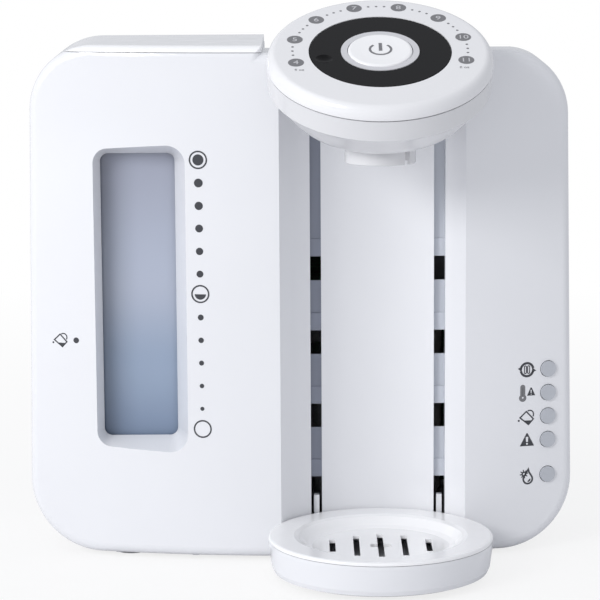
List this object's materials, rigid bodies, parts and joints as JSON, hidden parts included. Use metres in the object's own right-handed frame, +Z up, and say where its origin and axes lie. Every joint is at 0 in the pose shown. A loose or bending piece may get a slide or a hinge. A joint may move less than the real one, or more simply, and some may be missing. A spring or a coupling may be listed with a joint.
{
  "type": "baby formula maker",
  "caption": "Countertop baby formula maker: lift-out water tank with lid, tilted dosing head with dial and start button, bottle bay, hook-on drip tray, filter and indicator panel.",
  "frame": {"origin": "middle of the footprint box on the table, under the feet", "axes": "+Z up, the front faces -Y, +X to the right seen from the front"},
  "size_m": [0.31, 0.2042, 0.3155],
  "materials": {
    "white_gloss": "high gloss",
    "white_satin": "satin",
    "black_gloss": "high gloss",
    "ring_grey": "satin, lets light through",
    "lens_grey": "satin",
    "clear_tank": "clear, blue-grey tint",
    "grey_plastic": "satin",
    "dark_plastic": "satin",
    "soft_rubber": "matte",
    "silicone": "translucent",
    "steel": "zinc plated",
    "spring_steel": "bright",
    "cast_aluminium": "cast, bead blasted",
    "circuit_board": "solder mask",
    "filter_white": "matte",
    "copper_winding": "varnished"
  },
  "bodies": {
    "casing": {"front_shell": "white_gloss", "bay_liner": "white_gloss", "rear_shell": "white_gloss", "base_plate": "white_satin", "rubber_feet": "soft_rubber", "base_screws": "steel", "shell_screws": "steel", "cord_gland": "dark_plastic", "tank_chassis": "white_satin", "tank_dock": "grey_plastic", "dock_seal": "soft_rubber", "level_sensor": "circuit_board", "head_cover": "white_gloss", "head_housing": "white_gloss", "button_tower": "white_satin", "light_ring": "ring_grey", "start_button_spring": "spring_steel", "head_board": "circuit_board", "head_screws": "steel", "nozzle_block": "white_satin", "nozzle_guard": "white_gloss", "indicator_lenses": "lens_grey", "indicator_board": "circuit_board", "tact_switches": "dark_plastic", "control_board": "circuit_board", "power_board": "circuit_board", "transformer": "copper_winding", "board_screws": "steel", "filter_housing": "grey_plastic", "filter_cartridge": "filter_white", "door_pin": "steel", "pump_motor": "steel", "pump_head": "dark_plastic", "boiler": "cast_aluminium", "thermostat": "dark_plastic", "diverter_body": "dark_plastic", "diverter_spring": "spring_steel", "hose_tank": "silicone", "hose_filter": "silicone", "hose_boiler": "silicone", "hose_hot": "silicone", "hose_nozzle": "silicone"},
    "water_tank": {"water_tank": "clear_tank", "tank_valve_body": "white_satin", "tank_valve_spring": "spring_steel"},
    "tank_lid": {"tank_lid": "white_gloss", "lid_frame": "white_satin"},
    "tank_valve_plunger": {"tank_valve_plunger": "white_satin"},
    "dial": {"dial": "black_gloss", "dial_clip": "spring_steel"},
    "start_button": {"start_button": "white_gloss"},
    "filter_reset_button": {"filter_reset_button": "lens_grey"},
    "clean_button": {"clean_button": "lens_grey"},
    "filter_door": {"filter_door": "white_gloss"},
    "filter_cap": {"filter_cap": "white_satin", "cap_seal": "soft_rubber"},
    "drip_cup": {"drip_cup": "white_gloss"},
    "drip_plate": {"drip_plate": "white_gloss"},
    "pump_impeller": {"pump_impeller": "white_satin"},
    "diverter_plunger": {"diverter_plunger": "steel"}
  },
  "joints": [
    {"name": "tank_lift", "type": "slide", "parent": "casing", "child": "water_tank", "axis": [0, 0, 1], "range_m": [0, 0.285]},
    {"name": "lid_lift", "type": "slide", "parent": "water_tank", "child": "tank_lid", "axis": [0, 0, 1], "range_m": [0, 0.06]},
    {"name": "tank_valve", "type": "slide", "parent": "water_tank", "child": "tank_valve_plunger", "axis": [0, 0, 1], "range_m": [0, 0.003], "stiffness_N_per_m": 150, "springref_m": -0.004, "deforming": ["tank_valve_spring"]},
    {"name": "dial_turn", "type": "hinge", "parent": "casing", "child": "dial", "pos_m": [0.044, -0.0399, 0.2909], "axis": [0, 0.4289, -0.9033], "range_deg": [0, 210]},
    {"name": "start_button_press", "type": "slide", "parent": "casing", "child": "start_button", "axis": [0, 0.4289, -0.9033], "range_m": [0, 0.0009], "stiffness_N_per_m": 800, "springref_m": -0.001, "deforming": ["start_button_spring"]},
    {"name": "filter_reset_press", "type": "slide", "parent": "casing", "child": "filter_reset_button", "axis": [-0.2999, 0.954, 0], "range_m": [0, 0.0006], "stiffness_N_per_m": 800, "springref_m": -0.001},
    {"name": "clean_press", "type": "slide", "parent": "casing", "child": "clean_button", "axis": [-0.2999, 0.954, 0], "range_m": [0, 0.0006], "stiffness_N_per_m": 800, "springref_m": -0.001},
    {"name": "filter_door_hinge", "type": "hinge", "parent": "casing", "child": "filter_door", "pos_m": [0.091, 0.09717, 0.2464], "axis": [-1, 0, 0], "range_deg": [0, 110]},
    {"name": "filter_cap_twist", "type": "hinge", "parent": "casing", "child": "filter_cap", "pos_m": [0.092, 0.0676, 0.243], "axis": [0, 0, 1], "range_deg": [0, 60]},
    {"name": "drip_cup_unhook", "type": "slide", "parent": "casing", "child": "drip_cup", "axis": [0, -0.7071, 0.7071], "range_m": [0, 0.04]},
    {"name": "drip_plate_lift", "type": "slide", "parent": "drip_cup", "child": "drip_plate", "axis": [0, 0, 1], "range_m": [0, 0.025]},
    {"name": "impeller_spin", "type": "hinge", "parent": "casing", "child": "pump_impeller", "pos_m": [-0.07, 0.028, 0.024], "axis": [1, 0, 0], "continuous": true},
    {"name": "diverter_stroke", "type": "slide", "parent": "casing", "child": "diverter_plunger", "axis": [0, 0, 1], "range_m": [0, 0.003], "stiffness_N_per_m": 300, "springref_m": -0.002, "deforming": ["diverter_spring"]}
  ]
}
